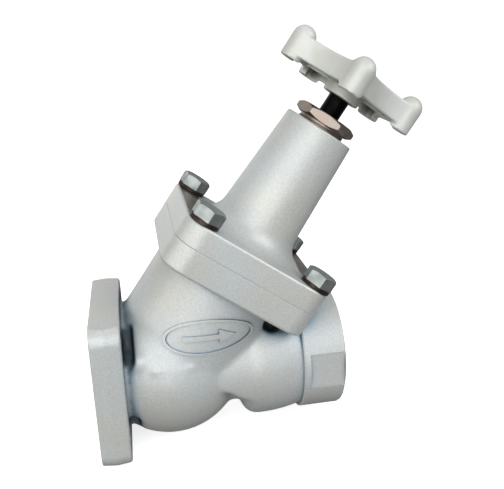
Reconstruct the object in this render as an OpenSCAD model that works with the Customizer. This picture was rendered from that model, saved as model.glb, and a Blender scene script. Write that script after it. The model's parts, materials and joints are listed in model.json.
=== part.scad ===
// Y-pattern globe valve with a square flanged inlet and a threaded outlet.
// The pipe axis is X and the inlet face lies on X = 0. The stem axis leans
// over the outlet in the XZ plane and crosses the pipe axis at cross_x.
// Every part on the stem axis is drawn upright, with Z measured along the
// stem from that crossing, and is then turned into place by on_stem().

/* [Pipe line] */
// Distance from the inlet face to the crossing of pipe and stem axes
cross_x = 37; // [36.5:0.5:38]
// Distance from the crossing to the threaded end
outlet_len = 91.5; // [90:0.5:96]
// Angle between the stem and the pipe axis
stem_angle = 54.5; // [54:0.5:56]
// Radius of the inlet bore
inlet_r = 19; // [17:0.5:19.5]
// Wall radius of the outlet thread, 1-1/2 NPT drawn as a plain bore
thread_r = 22.15; // [21.5:0.05:22.5]
// Length of the outlet thread
thread_len = 22; // [18:1:23]

/* [Inlet flange] */
// Side of the square inlet flange
inlet_side = 78; // [76:1:84]
// Thickness of the inlet flange
inlet_t = 15; // [13:1:16]
// Corner radius of the inlet flange
inlet_corner = 9; // [6:1:10]
// Distance between neighbouring inlet bolt holes
inlet_pitch = 56; // [55:1:58]
// Radius of an inlet bolt hole
inlet_hole_r = 5.5; // [4.5:0.5:5.5]

/* [Body] */
// Outer radius of the round bulb
bulb_r = 39.3; // [38.5:0.1:40]
// Outer radius of the chamber under the bonnet
chamber_r = 36; // [35:0.5:36]
// Inner radius of the chamber
chamber_bore_r = 29.3; // [28.5:0.1:29.5]
// Largest radius of the outlet barrel
barrel_r = 33.6; // [33:0.1:34]
// Outer radius of the outlet hub
hub_r = 32.7; // [32.5:0.1:34]
// Length of the outlet hub
hub_len = 22.5; // [21:0.5:24]
// Distance between the two wrench flats of the hub
hub_flats = 62.7; // [61.5:0.1:63.5]

/* [Bonnet joint] */
// Side of the square bonnet joint
joint_side = 82.5; // [82:0.5:86]
// Corner radius of the bonnet joint
joint_corner = 12; // [9:1:13]
// Height of the underside of the body flange along the stem
joint_low = 56.8; // [56:0.1:58]
// Height of the joint face along the stem
joint_face = 70.7; // [70:0.1:71]
// Height of the top of the bonnet plate along the stem
joint_top = 82.2; // [81.5:0.1:83]
// Distance between neighbouring cap screws
screw_pitch = 65.1; // [64.5:0.1:66]
// Radius of a cap screw's shank, 3/8 inch
screw_r = 4.75; // [4.5:0.05:4.8]

/* [Tower] */
// Height of the top of the tower along the stem
tower_top = 148.1; // [147:0.1:149]
// Radius of the tower at its top
tower_r_top = 18.7; // [18:0.1:19.5]
// Radius of the tower just above its flared foot
tower_r_low = 21.6; // [21:0.1:22.5]
// Radius of the concave flare at the foot of the tower
flare_r = 12; // [10:1:12]

/* [Handwheel] */
// Distance from the stem axis to the centre of a finger lobe
lobe_dist = 32.6; // [31:0.1:34]
// Radius of a finger lobe
lobe_r = 6; // [5.5:0.1:6.5]
// Radius of the rim halfway between two lobes
waist_r = 27; // [25:0.5:28]
// Thickness of the rim's wall
rim_wall = 3.2; // [2.5:0.1:3.5]
// Angle of the first lobe about the stem at rest
wheel_turn = -14.7; // [-36:0.1:36]

/* [Hidden] */
$fn = 96;

eps = 1;                 // how far a cutting tool runs past a face
slide_gap = 0.05;        // radial clearance of a running fit
free_gap = 0.3;          // clearance between parts that only pass each other
thread_gap = 0.05;       // radial clearance of a thread drawn plain

// Walls between the inlet side and the outlet side
seat_top = 11;           // sealing edge of the seat, along the stem
web_top = seat_top - 2;  // upper side of the sloping wall
web_low = web_top - 8;   // underside of the sloping wall
cavity_r = 30.5;         // round cavity under the sloping wall
bulb_centre = [2, 0, 1.7];   // from the crossing
port_r = 16.5;           // flow port of the seat
seat_hole_r = 20;        // hole that the seat ring is pressed into
seat_rim_r = 22;         // rim of the seat ring
inlet_bore_len = 10;
outlet_x = cross_x + outlet_len;
hub_x = outlet_x - hub_len;
barrel_bore_r = 20.5;
pocket_r = 10;           // clearance for the inlet bolts' nuts
pocket_len = 7.5;

// O-ring grooves
inlet_groove = [21.6, 25.6, 2.2];     // inner radius, outer radius, depth
bonnet_groove = [31, 34.6, 2];
ring_slack = 0.05;       // how far an O-ring stays inside its groove

// Disc group, along the stem
disc_r = 20;
disc_top = seat_top + 4.5;
holder_low = seat_top + 1.5;
holder_shoulder = seat_top + 7;
holder_floor = seat_top + 12;
holder_top = seat_top + 22;
holder_r = 22;
holder_neck_r = 15.5;
collar_r = 12.5;
disc_screw_r = 3;
disc_screw_low = seat_top - 5.5;
disc_head_top = seat_top - 2;
disc_washer_r = 11;

// Stem, along the stem axis
stem_r = 5.56;
stem_thread_r = 7.94;
button_r = 8.5;
button_low = holder_floor + free_gap;
button_top = button_low + 3.7;
neck_in_collar_r = 5.3;
stop_low = holder_top + 6;
stop_top = stop_low + 3;
stop_r = 11;
stem_thread_top = 86;
wheel_seat = 166;        // shoulder that carries the handwheel
square_side = 7.6;
square_top = 175.5;
top_thread_r = 3.9;
stem_top = 183.4;

// Bonnet, along the stem
nose_r = 19;
nose_low = stop_top + 13;    // the open stem stops just under it
pilot_len = 2.5;
stem_nut_top = 84;       // top of the stem's thread in the bonnet
relief_r = 9.5;
relief_top = 100;
box_floor = 104;         // floor of the packing box
box_r = 10.5;
gland_low = 131;         // lower end of the packing nut
gland_r = 13;
seat_strip = 28;         // the screw seats are milled flat beyond this

// Packing set, along the stem
pack_in = stem_r + slide_gap;
pack_out = box_r - slide_gap;
pack_mid = (pack_in + pack_out) / 2;
vee = 2;                 // rise of a packing ring's vee
vee_t = 2.6;             // height of a packing ring's wall
vee_pitch = 2.7;
spring_top = 115;
pack_low = 118.1;        // foot of the lowest packing ring

// Packing nut, along the stem
hex_low = 150.4;
hex_top = 155.8;
gland_flats = 28.6;
gland_turn = 41;         // how the nut happens to stop
wiper_low = 152.4;
wiper_r = 8;

// Handwheel, along the stem
rim_low = 170;
rim_top = 181;
web_bottom = 175;
web_upper = 178;
lobe_low = 167.7;
lobe_top = 185.8;
boss_r = 10;
boss_top = 178.5;
lobes = 5;

// Cap screws, along the stem
washer_t = 2;
head_h = 6.2;
head_flats = 14.3;
screw_low = 58;

// Points of a circular arc from angle a0 to a1, in steps pieces
function arc(centre, r, a0, a1, steps) = [
    for (i = [0 : steps])
        let (a = a0 + (a1 - a0) * i / steps)
            centre + r * [cos(a), sin(a)]
];

// Outline of a square with round corners, centred on the origin
function square_outline(side, corner, steps = 8) = [
    for (q = [0 : 3])
        let (c = side / 2 - corner, a = 90 * q)
            each arc([(q == 0 || q == 3) ? c : -c, q < 2 ? c : -c], corner, a, a + 90, steps)
];

// Outline of the lobed wheel, drawn in by inset. Round lobes run smoothly
// into hollow stretches whose centres lie outside the wheel.
function wheel_outline(inset) =
    let (
        half = 180 / lobes,
        step = waist_r - lobe_r,
        far = (lobe_dist ^ 2 - step ^ 2) / (2 * (lobe_dist * cos(half) - step)),
        hollow_r = far - waist_r,
        turn = atan2(far * sin(half), far * cos(half) - lobe_dist)
    )
    [
        for (k = [0 : lobes - 1])
            let (a = k * 360 / lobes, mid = a + half)
                each concat(
                    arc(lobe_dist * [cos(a), sin(a)], lobe_r - 0.3 - inset, a - turn, a + turn, 10),
                    arc(far * [cos(mid), sin(mid)], hollow_r + 0.3 + inset,
                        a + turn + 180, 2 * mid - a - turn + 180, 10)
                )
    ];

// Puts a part drawn upright onto the inclined stem axis
module on_stem() {
    translate([cross_x, 0, 0]) rotate([0, 90 - stem_angle, 0]) children();
}

// Puts a part drawn upright onto the pipe axis, its Z towards the outlet
module on_pipe(x = 0) {
    translate([x, 0, 0]) rotate([0, 90, 0]) children();
}

// A rod or hole between two heights
module rod(low, high, r) {
    translate([0, 0, low]) cylinder(r = r, h = high - low);
}

// A flat ring between two heights
module ring(low, high, outer, inner) {
    difference() {
        rod(low, high, outer);
        rod(low - eps, high + eps, inner);
    }
}

// A solid of revolution from a profile of [radius, height] points
module turned(profile) {
    rotate_extrude() polygon(profile);
}

// Copies at the four corners of a square
module at_corners(pitch) {
    for (sx = [-1, 1], sy = [-1, 1])
        translate([sx * pitch / 2, sy * pitch / 2, 0]) children();
}

// Everything above a height, inside the valve
module above(height) {
    translate([-100, -100, height]) cube([200, 200, 200]);
}

// A hexagonal head or nut with both ends chamfered
module hex(low, high, flats, chamfer) {
    corner = flats / 2 / cos(30);
    intersection() {
        translate([0, 0, low]) cylinder(r = corner, h = high - low, $fn = 6);
        turned([
            [0, low], [corner - chamfer, low], [corner + 0.2, low + chamfer * 0.6],
            [corner + 0.2, high - chamfer * 0.6], [corner - chamfer, high], [0, high]
        ]);
    }
}

// Round O-ring that just fills its groove
module o_ring(groove, height) {
    r = groove[2] / 2 - ring_slack;
    translate([0, 0, height]) rotate_extrude()
        translate([(groove[0] + groove[1]) / 2, 0]) circle(r = r, $fn = 32);
}

// ---- Body ----

// Outlet barrel: a slim neck out of the bulb, then widest at the bulge and
// drawn in towards the hub. A slanting shoulder fills the neck's upper half.
module barrel() {
    start = cross_x + 38;
    bulge = cross_x + 49;
    start_r = 25;
    shoulder_r = 31;
    drop = 2.8;
    steps = 5;
    on_pipe() turned(concat(
        [[0, cross_x], [start_r, cross_x]],
        [for (a = [0 : 15 : 90]) [start_r + (barrel_r - start_r) * sin(a), start + 8 * (1 - cos(a))]],
        [for (i = [0 : steps]) [barrel_r - drop * (i / steps) ^ 2, bulge + (hub_x - bulge) * i / steps]],
        [[barrel_r - drop, hub_x + eps], [0, hub_x + eps]]
    ));
    intersection() {
        on_pipe(cross_x) cylinder(r = shoulder_r, h = bulge - cross_x);
        on_stem() above(seat_top + 1);
    }
}

module body_outside() {
    on_pipe() linear_extrude(inlet_t) polygon(square_outline(inlet_side, inlet_corner));
    translate([cross_x, 0, 0] + bulb_centre) sphere(r = bulb_r);
    barrel();
    on_stem() rod(0, joint_low + eps, chamber_r);
    on_stem() translate([0, 0, joint_low]) linear_extrude(joint_face - joint_low)
        polygon(square_outline(joint_side, joint_corner));
    intersection() {
        on_pipe(hub_x) cylinder(r = hub_r, h = hub_len);
        translate([hub_x, -hub_flats / 2, -hub_r - eps])
            cube([hub_len, hub_flats, 2 * (hub_r + eps)]);
    }
    on_pipe(hub_x) cylinder(r = hub_r, h = 3);
}

module inlet_passage() {
    on_pipe(-eps) cylinder(r = inlet_r, h = inlet_bore_len + eps);
    difference() {
        union() {
            translate([cross_x, 0, 0] + bulb_centre) sphere(r = cavity_r);
            on_pipe(inlet_bore_len / 2) cylinder(r = inlet_r - 0.5, h = cross_x);
        }
        on_stem() above(web_low);
    }
    on_stem() rod(web_low - eps, web_top + eps, seat_hole_r);
}

module outlet_passage() {
    on_stem() rod(web_top, joint_face + eps, chamber_bore_r);
    on_pipe(outlet_x - thread_len) cylinder(r = thread_r, h = thread_len + eps);
    intersection() {
        on_pipe(cross_x) cylinder(r = barrel_bore_r, h = outlet_x - thread_len - cross_x + eps);
        on_stem() above(web_top);
    }
}

module body_casting() {
    color("silver") difference() {
        body_outside();
        inlet_passage();
        outlet_passage();
        on_pipe(-eps) at_corners(inlet_pitch) cylinder(r = inlet_hole_r, h = inlet_t + 2 * eps);
        on_pipe(inlet_t) at_corners(inlet_pitch) cylinder(r = pocket_r, h = pocket_len);
        on_pipe() ring(-eps, inlet_groove[2], inlet_groove[1], inlet_groove[0]);
        on_stem() ring(joint_face - bonnet_groove[2], joint_face + eps, bonnet_groove[1], bonnet_groove[0]);
        on_stem() at_corners(screw_pitch) rod(joint_low - eps, joint_face + eps, screw_r + thread_gap);
    }
}

module inlet_o_ring() {
    color("dimgray") on_pipe() o_ring(inlet_groove, inlet_groove[2] / 2);
}

module seat_ring() {
    color("goldenrod") on_stem() difference() {
        union() {
            rod(web_low, web_top, seat_hole_r);
            rod(web_top, seat_top, seat_rim_r);
        }
        rod(web_low - eps, seat_top + eps, port_r);
    }
}

// ---- Bonnet ----

module bonnet_o_ring() {
    color("dimgray") on_stem() o_ring(bonnet_groove, joint_face - bonnet_groove[2] / 2);
}

module tower() {
    edge = 0.8;
    foot = tower_r_low + flare_r;
    turned(concat(
        [[0, joint_top - eps], [foot, joint_top - eps]],
        arc([foot, joint_top + flare_r], flare_r, 270, 180, 10),
        [[tower_r_top, tower_top - edge], [tower_r_top - edge, tower_top], [0, tower_top]]
    ));
}

module bonnet() {
    strip = joint_side / 2;
    color("silver") on_stem() difference() {
        union() {
            translate([0, 0, joint_face]) linear_extrude(joint_top - joint_face)
                polygon(square_outline(joint_side, joint_corner));
            intersection() {
                tower();
                translate([-seat_strip, -strip, joint_top - eps])
                    cube([2 * seat_strip, 2 * strip, tower_top]);
            }
            rod(nose_low, joint_face, nose_r);
            rod(joint_face - pilot_len, joint_face, chamber_bore_r - thread_gap);
        }
        rod(nose_low - eps, stem_nut_top + eps, stem_thread_r + thread_gap);
        rod(stem_nut_top, relief_top, relief_r);
        rod(relief_top - eps, box_floor + eps, stem_r + slide_gap);
        rod(box_floor, gland_low + eps, box_r);
        rod(gland_low, tower_top + eps, gland_r + thread_gap);
        at_corners(screw_pitch) rod(joint_face - eps, joint_top + eps, screw_r + 0.45);
    }
}

module cap_screws() {
    head_low = joint_top + washer_t;
    color("lightslategray") on_stem() at_corners(screw_pitch) {
        rod(screw_low, head_low, screw_r);
        hex(head_low, head_low + head_h, head_flats, 0.9);
    }
}

module lock_washers() {
    color("dimgray") on_stem() at_corners(screw_pitch)
        ring(joint_top, joint_top + washer_t, 8, screw_r + thread_gap);
}

// ---- Packing ----

// Swept coil: each station holds a small ring of points
module packing_spring() {
    turns = 4;
    per_turn = 20;
    sides = 8;
    wire_r = 0.8;
    coil_r = 8.1;
    low = box_floor + wire_r + ring_slack;
    rise = spring_top - box_floor - 2 * (wire_r + ring_slack);
    last = turns * per_turn;
    points = [
        for (i = [0 : last], j = [0 : sides - 1])
            let (a = 360 * i / per_turn, b = 360 * j / sides, r = coil_r + wire_r * cos(b))
                [r * cos(a), r * sin(a), low + rise * i / last + wire_r * sin(b)]
    ];
    walls = [
        for (i = [0 : last - 1], j = [0 : sides - 1])
            let (k = (j + 1) % sides)
                [i * sides + j, i * sides + k, (i + 1) * sides + k, (i + 1) * sides + j]
    ];
    start = [[for (j = [sides - 1 : -1 : 0]) j]];
    end = [[for (j = [0 : sides - 1]) last * sides + j]];
    color("darkgray") on_stem() polyhedron(points, concat(walls, start, end));
}

module spring_washer() {
    color("darkgray") on_stem() ring(spring_top, pack_low - 1.6, pack_out, pack_in);
}

module male_adapter() {
    foot = pack_low - 1.6;
    color("saddlebrown") on_stem() turned([
        [pack_in, foot], [pack_out, foot], [pack_out, pack_low - 0.1],
        [pack_mid, pack_low - 0.1 + vee], [pack_in, pack_low - 0.1]
    ]);
}

module packing_ring(index) {
    low = pack_low + index * vee_pitch;
    color("whitesmoke") on_stem() turned([
        [pack_in, low], [pack_mid, low + vee], [pack_out, low],
        [pack_out, low + vee_t], [pack_mid, low + vee + vee_t], [pack_in, low + vee_t]
    ]);
}

module female_adapter() {
    low = pack_low + 3 * vee_pitch;
    color("saddlebrown") on_stem() turned([
        [pack_in, low], [pack_mid, low + vee], [pack_out, low],
        [pack_out, gland_low], [pack_in, gland_low]
    ]);
}

module packing_nut() {
    color("rosybrown") on_stem() difference() {
        union() {
            rod(gland_low, hex_low + eps, gland_r);
            rotate([0, 0, gland_turn]) hex(hex_low, hex_top, gland_flats, 1.6);
        }
        rod(gland_low - eps, hex_top + eps, stem_r + slide_gap);
        rod(wiper_low, hex_top + eps, wiper_r);
    }
}

module stem_wiper() {
    color("black") on_stem() ring(wiper_low, hex_top - 0.4, wiper_r, stem_r + slide_gap);
}

// ---- Disc group, slides along the stem axis ----

module seat_disc() {
    color("black") on_stem() ring(seat_top + 0.01, disc_top, disc_r, disc_screw_r + 0.1);
}

module disc_holder() {
    color("peru") on_stem() difference() {
        turned([
            [0, holder_low], [holder_r, holder_low], [holder_r, holder_shoulder],
            [holder_neck_r, holder_floor], [holder_neck_r, holder_top], [0, holder_top]
        ]);
        rod(holder_low - eps, disc_top, disc_r + slide_gap);
        rod(disc_top - eps, holder_floor - eps / 2, disc_screw_r + thread_gap);
        rod(holder_floor, holder_top + eps, button_r + 0.5);
        rod(button_top + free_gap, holder_top + eps, collar_r + thread_gap);
    }
}

module disc_washer() {
    color("lightgray") on_stem()
        ring(disc_head_top, seat_top, disc_washer_r, disc_screw_r + 0.1);
}

module disc_screw() {
    color("lightgray") on_stem() {
        hex(disc_screw_low, disc_head_top, 8, 0.6);
        rod(disc_head_top, holder_floor - 1, disc_screw_r);
    }
}

module swivel_collar() {
    low = button_top + free_gap;
    color("peru") on_stem() difference() {
        ring(low, holder_top, collar_r, neck_in_collar_r + free_gap);
        translate([-collar_r - eps, -1.2, holder_top - 1.5])
            cube([2 * (collar_r + eps), 2.4, 3]);
    }
}

// ---- Stem and handwheel, turn about the stem axis ----

module stem() {
    color("black") on_stem() {
        turned([
            [0, button_low], [button_r - 1, button_low], [button_r, button_low + 1],
            [button_r, button_top], [neck_in_collar_r, button_top],
            [neck_in_collar_r, stop_low], [stop_r - 1, stop_low], [stop_r, stop_low + 1],
            [stop_r, stop_top], [stem_thread_r, stop_top],
            [stem_thread_r, stem_thread_top - 1.5], [stem_r, stem_thread_top],
            [stem_r, wheel_seat], [0, wheel_seat]
        ]);
        rotate([0, 0, wheel_turn]) translate([-square_side / 2, -square_side / 2, wheel_seat - eps])
            cube([square_side, square_side, square_top - wheel_seat + eps]);
        rod(square_top - eps, stem_top, top_thread_r);
    }
}

module finger_lobe() {
    centre = lobe_top - lobe_r;
    turned(concat(
        [[0, lobe_low], [lobe_r, lobe_low]],
        arc([0, centre], lobe_r, 0, 90, 9)
    ));
}

module handwheel() {
    color("gainsboro") on_stem() rotate([0, 0, wheel_turn - 90]) difference() {
        union() {
            difference() {
                union() {
                    translate([0, 0, rim_low]) linear_extrude(rim_top - rim_low)
                        polygon(wheel_outline(0));
                    for (k = [0 : lobes - 1])
                        rotate([0, 0, k * 360 / lobes]) translate([lobe_dist, 0, 0]) finger_lobe();
                }
                translate([0, 0, lobe_low - eps]) linear_extrude(web_bottom - lobe_low + eps)
                    polygon(wheel_outline(rim_wall));
                translate([0, 0, web_upper]) linear_extrude(rim_top - web_upper + eps)
                    circle(r = waist_r - 2 * rim_wall);
            }
            rod(wheel_seat, boss_top, boss_r);
            for (k = [0 : lobes - 1])
                rotate([0, 0, (k + 0.5) * 360 / lobes]) translate([boss_r - eps, -1.3, rim_low + 1])
                    cube([waist_r - boss_r - 1, 2.6, web_bottom - rim_low]);
        }
        rotate([0, 0, 90]) translate([0, 0, wheel_seat - eps]) linear_extrude(boss_top - wheel_seat + 2 * eps)
            square(square_side + 0.1, center = true);
    }
}

module handwheel_washer() {
    color("lightgray") on_stem() ring(boss_top, boss_top + 1, 8, top_thread_r + thread_gap);
}

module handwheel_nut() {
    color("lightgray") on_stem() difference() {
        hex(boss_top + 1, stem_top - 0.4, 12.7, 0.8);
        rod(boss_top, stem_top, top_thread_r + thread_gap);
    }
}

body_casting();
inlet_o_ring();
seat_ring();
bonnet_o_ring();
bonnet();
cap_screws();
lock_washers();
packing_spring();
spring_washer();
male_adapter();
packing_ring(0);  // packing_ring_1
packing_ring(1);  // packing_ring_2
packing_ring(2);  // packing_ring_3
female_adapter();
packing_nut();
stem_wiper();
seat_disc();
disc_holder();
disc_washer();
disc_screw();
swivel_collar();
stem();
handwheel();
handwheel_washer();
handwheel_nut();
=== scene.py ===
# %% [markdown]
# # A Y-pattern globe valve
#
# The valve is an iron casting with a square flange at its inlet and a pipe thread at its outlet.
# A bonnet is screwed onto a square joint that leans over the outlet, a bronze packing nut closes
# the bonnet's tower, and a cast aluminium finger wheel turns the black stem. This lesson loads the
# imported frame, draws a detailed piece for each part that can be seen, gives every part a finish,
# and ends with the light and the camera. Everything is in metres, so sizes are written in
# millimetres and multiplied by MM.

# %% Load the frame
import json
import math

import bpy
from mathutils import Matrix, Vector

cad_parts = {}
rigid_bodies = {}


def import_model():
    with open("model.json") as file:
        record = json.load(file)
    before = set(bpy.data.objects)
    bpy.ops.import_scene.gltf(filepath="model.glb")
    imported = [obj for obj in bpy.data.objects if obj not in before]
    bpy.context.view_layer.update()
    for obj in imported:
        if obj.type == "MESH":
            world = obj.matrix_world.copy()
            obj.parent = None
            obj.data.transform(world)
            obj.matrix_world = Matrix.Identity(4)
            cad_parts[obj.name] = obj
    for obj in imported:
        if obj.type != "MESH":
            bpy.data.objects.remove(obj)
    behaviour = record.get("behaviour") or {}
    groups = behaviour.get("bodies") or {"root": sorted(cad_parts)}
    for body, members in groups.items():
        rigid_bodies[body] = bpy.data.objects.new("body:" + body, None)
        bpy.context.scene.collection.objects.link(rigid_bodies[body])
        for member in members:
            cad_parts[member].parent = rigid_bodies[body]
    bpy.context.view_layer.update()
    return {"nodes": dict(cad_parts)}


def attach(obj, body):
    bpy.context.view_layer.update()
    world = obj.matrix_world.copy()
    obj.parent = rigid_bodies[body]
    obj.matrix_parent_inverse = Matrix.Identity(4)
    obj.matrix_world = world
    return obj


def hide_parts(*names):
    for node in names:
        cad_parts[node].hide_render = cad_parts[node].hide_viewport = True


bpy.ops.object.select_all(action="SELECT")
bpy.ops.object.delete()
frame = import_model()
NODES = frame["nodes"]
MM = 0.001

# %% [markdown]
# ## Main sizes
#
# The pipe runs along X and its flange face lies at X = 0. The stem crosses the pipe at CROSS and
# leans by LEAN towards the outlet. Parts on the stem are drawn upright, with Z along the stem
# from that crossing, and are then leaned into place, which keeps every number simple.

# %% Sizes in millimetres
CROSS = 37.0
LEAN = math.radians(90 - 54.5)
OUTLET = 128.5
HUB_LOW = 106.0
HUB_R = 32.7
INLET_SIDE, INLET_T, INLET_CORNER, BOLT_AT = 78.0, 15.0, 9.0, 28.0
BULB_R, BULB_X, BULB_Z = 39.3, 39.0, 1.7
CHAMBER_R, CHAMBER_BORE = 36.0, 29.3
JOINT_LOW, JOINT_FACE, JOINT_TOP = 56.8, 70.7, 82.2
JOINT_SIDE, JOINT_CORNER, SCREW_AT = 82.5, 12.0, 32.55
WEB_LOW, WEB_TOP, SEAT_HOLE = 1.0, 9.0, 20.0
TOWER_TOP, HEX_LOW, HEX_TOP = 148.1, 150.4, 155.8
WHEEL_SEAT, STEM_TOP = 166.0, 183.4
WHEEL_TURN = -14.7

# %% [markdown]
# ## Finishes
#
# A finish is a small tree of shader nodes that reads Object coordinates, so a pattern keeps its
# real size on every piece. The first helper turns an sRGB hex colour into the linear values that
# a shader wants, and the second adds a node with its settings and its links in one call. The
# kinds of node that come up again and again have short names.

# %% Helpers for finishes
RAMP, NOISE, BUMP = "ShaderNodeValToRGB", "ShaderNodeTexNoise", "ShaderNodeBump"
SPREAD, MIX, CORNERS = "ShaderNodeMapRange", "ShaderNodeMix", "ShaderNodeAmbientOcclusion"


def linear(hex_colour):
    parts = [int(hex_colour[i:i + 2], 16) / 255 for i in (1, 3, 5)]
    return tuple(p / 12.92 if p <= 0.04045 else ((p + 0.055) / 1.055) ** 2.4 for p in parts) + (1.0,)


def add(tree, kind, settings=None, inputs=None, stops=()):
    """Adds a node with its settings, its links or values, and the stops of its colours."""
    node = tree.nodes.new(kind)
    for key, value in (settings or {}).items():
        setattr(node, key, value)
    for i, (position, value) in enumerate(stops):
        if i == len(node.color_ramp.elements):
            node.color_ramp.elements.new(position)
        stop = node.color_ramp.elements[i]
        stop.position = position
        stop.color = linear(value) if isinstance(value, str) else (value,) * 3 + (1.0,)
    for key, value in (inputs or {}).items():
        if isinstance(value, bpy.types.NodeSocket):
            tree.links.new(value, node.inputs[key])
        else:
            node.inputs[key].default_value = value
    return node


def finish(name, metallic, roughness, **extra):
    """A new material with its shader, its tree and its Object coordinates."""
    material = bpy.data.materials.new(name)
    material.use_nodes = True
    tree = material.node_tree
    tree.nodes.clear()
    shader = add(tree, "ShaderNodeBsdfPrincipled",
                 inputs={"Metallic": metallic, "Roughness": roughness, **extra})
    add(tree, "ShaderNodeOutputMaterial", inputs={"Surface": shader.outputs[0]})
    place = add(tree, "ShaderNodeTexCoord").outputs["Object"]
    return material, tree, shader, place


def per_mm(size):
    """Noise scale that gives features of about this size in millimetres."""
    return 1 / (size * MM)


print("one step of noise at 1 mm has scale", per_mm(1))

# %% [markdown]
# ## Silver paint on cast iron
#
# The casting is sprayed with a satin silver-grey paint. Sand casting leaves a fine grain about
# half a millimetre across that the paint only half hides, and the paint mottles between a warm and
# a cool grey. Painted shade is laid over it: bluish in the inside corners, near black in the deep
# pockets, and thin bluish lines along fine steps. Ambient occlusion finds those corners from the
# shape alone, wide ones at 14 mm and fine edges at 1.8 mm, so the painted shade stays in place
# from every side.

# %% Silver paint
def silver_paint(name, warm, cool, painted_crease_shade, grain_mm, grain_depth):
    material, tree, shader, place = finish(name, 0.25, 0.45, IOR=1.5)
    mottle = add(tree, NOISE,
                 inputs={"Vector": place, "Scale": per_mm(38), "Detail": 3.0}).outputs["Fac"]
    body = add(tree, RAMP, inputs={"Fac": mottle},
               stops=[(0.38, warm), (0.62, cool)]).outputs["Color"]
    fine = add(tree, NOISE,
               inputs={"Vector": place, "Scale": per_mm(grain_mm), "Detail": 4.0,
                       "Roughness": 0.6}).outputs["Fac"]
    speck = add(tree, RAMP, inputs={"Fac": fine},
                stops=[(0.36, 0.86), (0.62, 1.0)]).outputs["Color"]
    flecked = add(tree, MIX, {"data_type": "RGBA", "blend_type": "MULTIPLY"},
                  {0: 1.0, 6: body, 7: speck}).outputs[2]
    # Painted shade: occlusion over 14 mm mixes a bluish shade into inside corners and a near-black
    # painted shadow into pockets.
    corner = add(tree, CORNERS, {"samples": 6},
                 {"Distance": 14 * MM}).outputs["AO"]
    painted_shade_mask = add(tree, RAMP, inputs={"Fac": corner},
                stops=[(0.48, 1.0), (0.7, 0.0)]).outputs["Color"]
    hollow = add(tree, RAMP, inputs={"Fac": corner},
                 stops=[(0.38, "#12171C"), (0.55, painted_crease_shade)]).outputs["Color"]
    deep = add(tree, MIX, {"data_type": "RGBA"},
               {0: painted_shade_mask, 6: flecked, 7: hollow}).outputs[2]
    # Painted shade: occlusion over 1.8 mm lays thin bluish-grey lines along fine steps and edges.
    step = add(tree, CORNERS, {"samples": 6},
               {"Distance": 1.8 * MM}).outputs["AO"]
    edge = add(tree, RAMP, inputs={"Fac": step}, stops=[(0.4, 0.5), (0.85, 0.0)]).outputs["Color"]
    shaded = add(tree, MIX, {"data_type": "RGBA"},
                 {0: edge, 6: deep, 7: linear("#93A3AA")}).outputs[2]
    tree.links.new(shaded, shader.inputs["Base Color"])
    rough = add(tree, SPREAD,
                inputs={"Value": mottle, "From Min": 0.3, "From Max": 0.7,
                        "To Min": 0.38, "To Max": 0.5}).outputs[0]
    tree.links.new(rough, shader.inputs["Roughness"])
    wave = add(tree, NOISE,
               inputs={"Vector": place, "Scale": per_mm(3.5), "Detail": 2.0}).outputs["Fac"]
    swell = add(tree, BUMP,
                inputs={"Strength": 0.5, "Distance": 0.05 * MM, "Height": wave}).outputs[0]
    bump = add(tree, BUMP,
               inputs={"Strength": 0.6, "Distance": grain_depth * MM, "Height": fine,
                       "Normal": swell}).outputs[0]
    tree.links.new(bump, shader.inputs["Normal"])
    return material


silver_cast = silver_paint("silver painted cast iron", "#CBCCC6", "#C8CDCD", "#8DB0C6", 0.9, 0.14)
print("made", silver_cast.name)

# %% [markdown]
# ## Bare machined metal
#
# Faces that seal, bores and screw seats are turned or milled after painting, which leaves fine
# parallel grooves. A wave pattern squeezed along one direction gives those grooves, and a thin
# film of oil and light rust warms the iron.

# %% Turned and milled metals
def machined(name, pale, dark, roughness, groove_mm, along="X"):
    material, tree, shader, place = finish(name, 1.0, roughness)
    cloud = add(tree, NOISE,
                inputs={"Vector": place, "Scale": per_mm(9), "Detail": 4.0}).outputs["Fac"]
    tint = add(tree, RAMP, inputs={"Fac": cloud},
               stops=[(0.35, dark), (0.65, pale)]).outputs["Color"]
    tree.links.new(tint, shader.inputs["Base Color"])
    groove = add(tree, "ShaderNodeTexWave",
                 {"wave_type": "BANDS", "bands_direction": along},
                 {"Vector": place, "Scale": per_mm(groove_mm) / 20, "Distortion": 0.6,
                  "Detail": 2.0}).outputs["Fac"]
    rough = add(tree, SPREAD,
                inputs={"Value": cloud, "From Min": 0.3, "From Max": 0.7,
                        "To Min": roughness * 0.8, "To Max": roughness * 1.3}).outputs[0]
    tree.links.new(rough, shader.inputs["Roughness"])
    bump = add(tree, BUMP,
               inputs={"Strength": 0.4, "Distance": 0.02 * MM, "Height": groove}).outputs[0]
    tree.links.new(bump, shader.inputs["Normal"])
    return material


bare_iron = machined("machined cast iron", "#A09B94", "#7C766E", 0.36, 0.8)
gland_bronze = machined("turned bronze, tarnished", "#B0A49B", "#94867B", 0.44, 0.5, "Z")
seat_bronze = machined("machined seat bronze", "#C9A573", "#A8834F", 0.3, 0.5, "Z")
packing_brass = machined("machined brass", "#D2B26C", "#B4924C", 0.3, 0.5, "Z")
bright_steel = machined("bright stainless steel", "#C9CACA", "#A9ABAB", 0.28, 0.4, "Z")
print("machined finishes:", bare_iron.name, gland_bronze.name, seat_bronze.name)
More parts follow.
